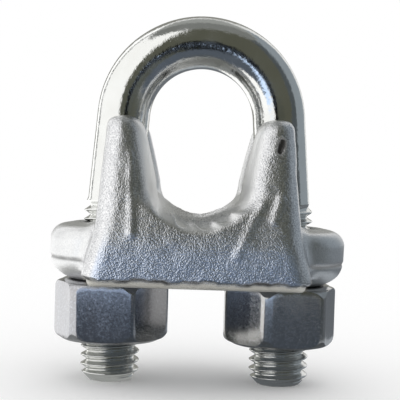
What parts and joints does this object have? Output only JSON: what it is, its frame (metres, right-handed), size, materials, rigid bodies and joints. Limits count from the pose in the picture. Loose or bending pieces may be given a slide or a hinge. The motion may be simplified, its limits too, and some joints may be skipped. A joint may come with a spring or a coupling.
{
  "type": "wire rope clip",
  "caption": "Forged wire rope clip: a threaded U-bolt drawn through a grooved saddle by hex nuts, to clamp a rope back on itself.",
  "frame": {"origin": "axis of the rope at the middle of the saddle's seat", "axes": "+Y along the rope, +Z from the saddle towards the bow, X from leg to leg"},
  "size_m": [0.0634, 0.042, 0.0788],
  "materials": {
    "plated_bar": "bright zinc plate over smooth round bar and rolled threads",
    "galvanised_forging": "zinc coat over a rough drop-forged skin",
    "plated_nut": "blue-grey zinc plate over smooth forged flats"
  },
  "bodies": {
    "saddle": {"saddle": "galvanised_forging"},
    "u_bolt": {"u_bolt": "plated_bar"},
    "left_nut": {"left_nut": "plated_nut"},
    "right_nut": {"right_nut": "plated_nut"}
  },
  "joints": [
    {"name": "u_bolt_draw", "type": "slide", "parent": "saddle", "child": "u_bolt", "axis": [0, 0, 1], "range_m": [-0.01465, 0.00782]},
    {"name": "left_nut_turn", "type": "hinge", "parent": "saddle", "child": "left_nut", "pos_m": [-0.0183, 0, -0.0278], "axis": [0, 0, 1], "range_deg": [-1440.5, 2700.5]},
    {"name": "right_nut_turn", "type": "hinge", "parent": "saddle", "child": "right_nut", "pos_m": [0.0183, 0, -0.0278], "axis": [0, 0, 1], "range_deg": [-1440.5, 2700.5]}
  ],
  "couplings": [
    {"joint": "left_nut_turn", "follows": "u_bolt_draw", "rad_per_m": -3215.6},
    {"joint": "right_nut_turn", "follows": "u_bolt_draw", "rad_per_m": -3215.6}
  ]
}
